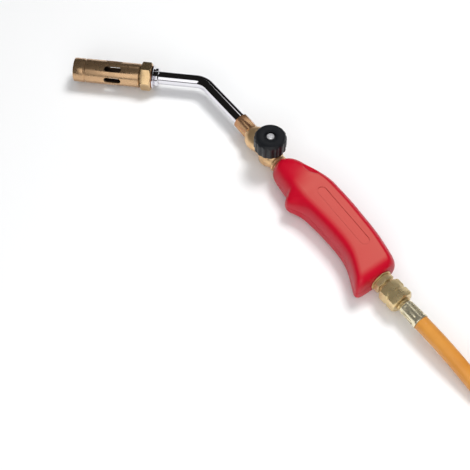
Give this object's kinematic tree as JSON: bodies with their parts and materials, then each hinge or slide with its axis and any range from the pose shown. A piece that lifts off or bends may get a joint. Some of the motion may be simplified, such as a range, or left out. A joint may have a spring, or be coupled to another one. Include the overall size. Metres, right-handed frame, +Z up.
{
  "type": "lampwork torch",
  "caption": "Hand torch for glass bead work: slotted brass burner on a bent chrome neck, needle valve with knob, red pistol grip and a coiled gas hose.",
  "frame": {"origin": "on the bench, at the middle of the torch's own footprint; the hose, its coil and its supply fitting are left out of that footprint", "axes": "+Z up from the bench; the burner's mouth points along -X and a little +Y; the grip runs from the middle towards +X and -Y; the knob faces +Z"},
  "size_m": [0.5191, 0.4124, 0.0562],
  "materials": {
    "warm_brass": "satin turned brass",
    "bright_brass": "bright machined brass",
    "valve_brass": "reddish polished brass",
    "copper": "soft copper",
    "chrome": "mirror",
    "steel": "bright zinc",
    "yellow_zinc": "yellow passivated zinc",
    "red_plastic": "gloss",
    "black_plastic": "semi-gloss",
    "tie_plastic": "matt",
    "black_rubber": "matt",
    "white_seal": "waxy",
    "orange_rubber": "satin"
  },
  "bodies": {
    "torch": {"burner_tube": "warm_brass", "flame_holder": "warm_brass", "gas_jet": "bright_brass", "burner_hex": "warm_brass", "burner_seal": "copper", "neck_collar": "chrome", "neck_tube": "chrome", "valve_body": "valve_brass", "gland_nut": "valve_brass", "gland_packing": "white_seal", "grip_shell_upper": "red_plastic", "grip_shell_lower": "red_plastic", "grip_screw_1": "steel", "grip_screw_2": "steel", "grip_screw_3": "steel", "grip_pipe": "copper", "inlet_washer": "bright_brass", "inlet_connector": "bright_brass", "hose_nut": "bright_brass", "hose_tail": "bright_brass", "hose_ferrule": "yellow_zinc", "hose_run": "orange_rubber", "hose_coil": "orange_rubber", "cable_tie_1": "tie_plastic", "cable_tie_2": "tie_plastic", "hose_end": "orange_rubber", "end_ferrule": "yellow_zinc", "end_tail": "bright_brass"},
    "spindle_lift": {"spindle_seal": "black_rubber"},
    "knob_set": {"valve_spindle": "steel", "knob": "black_plastic", "knob_washer": "steel", "knob_screw": "chrome"},
    "supply_nut": {"end_nut": "bright_brass"}
  },
  "joints": [
    {"name": "spindle_rise", "type": "slide", "parent": "torch", "child": "spindle_lift", "axis": [0, 0, 1], "range_m": [0, 0.0015]},
    {"name": "knob_turn", "type": "hinge", "parent": "spindle_lift", "child": "knob_set", "pos_m": [0.0295, 0.03113, 0.015], "axis": [0, 0, 1], "range_deg": [0, 540]},
    {"name": "supply_nut_spin", "type": "hinge", "parent": "torch", "child": "supply_nut", "pos_m": [0.31412, -0.45479, 0.0423], "axis": [0.3843, -0.9232, 0], "continuous": true}
  ],
  "couplings": [
    {"joint": "knob_turn", "follows": "spindle_rise", "rad_per_m": 6283.2}
  ]
}
